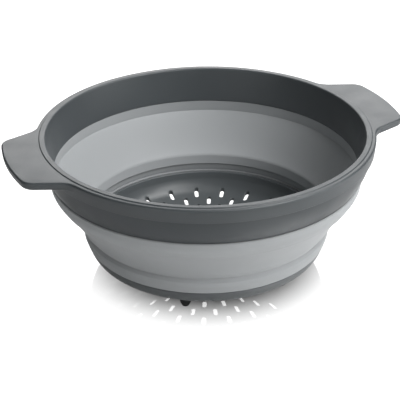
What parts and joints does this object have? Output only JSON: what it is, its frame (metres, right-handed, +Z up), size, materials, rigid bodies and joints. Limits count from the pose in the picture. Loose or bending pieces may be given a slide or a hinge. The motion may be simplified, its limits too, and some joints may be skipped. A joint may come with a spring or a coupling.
{
  "type": "collapsible colander",
  "caption": "Round collapsible colander with flat side handles, a slotted strainer base on small feet and a soft wall that folds so the rim sinks round the base.",
  "frame": {"origin": "on the table under the middle of the base, at the bottom of the foot pads", "axes": "+X through the middle of one handle, +Z up out of the bowl, +Y across the handles"},
  "size_m": [0.304, 0.2552, 0.1125],
  "materials": {
    "plastic": "satin moulded polypropylene, dark grey",
    "silicone": "soft matte silicone, light grey",
    "foot_rubber": "matte black rubber"
  },
  "bodies": {
    "base": {"strainer_base": "plastic", "wall_collar": "silicone", "foot_pad_1": "foot_rubber", "foot_pad_2": "foot_rubber", "foot_pad_3": "foot_rubber", "foot_pad_4": "foot_rubber"},
    "rim": {"rim_frame": "plastic", "clamp_band": "plastic", "wall_bead": "silicone"},
    "fold_1": {"wall_fold_1": "silicone"},
    "fold_2": {"wall_fold_2": "silicone"},
    "fold_3": {"wall_fold_3": "silicone"},
    "fold_4": {"wall_fold_4": "silicone"},
    "fold_5": {"wall_fold_5": "silicone"}
  },
  "joints": [
    {"name": "rim_slide", "type": "slide", "parent": "base", "child": "rim", "axis": [0, 0, -1], "range_m": [0, 0.054]},
    {"name": "fold_1_slide", "type": "slide", "parent": "base", "child": "fold_1", "axis": [0, 0, -1], "range_m": [0, 0.0513]},
    {"name": "fold_2_slide", "type": "slide", "parent": "base", "child": "fold_2", "axis": [0, 0, -1], "range_m": [0, 0.04482]},
    {"name": "fold_3_slide", "type": "slide", "parent": "base", "child": "fold_3", "axis": [0, 0, -1], "range_m": [0, 0.0324]},
    {"name": "fold_4_slide", "type": "slide", "parent": "base", "child": "fold_4", "axis": [0, 0, -1], "range_m": [0, 0.01782]},
    {"name": "fold_5_slide", "type": "slide", "parent": "base", "child": "fold_5", "axis": [0, 0, -1], "range_m": [0, 0.0027]}
  ],
  "couplings": [
    {"joint": "fold_1_slide", "follows": "rim_slide", "ratio": 0.95},
    {"joint": "fold_2_slide", "follows": "rim_slide", "ratio": 0.83},
    {"joint": "fold_3_slide", "follows": "rim_slide", "ratio": 0.6},
    {"joint": "fold_4_slide", "follows": "rim_slide", "ratio": 0.33},
    {"joint": "fold_5_slide", "follows": "rim_slide", "ratio": 0.05}
  ]
}
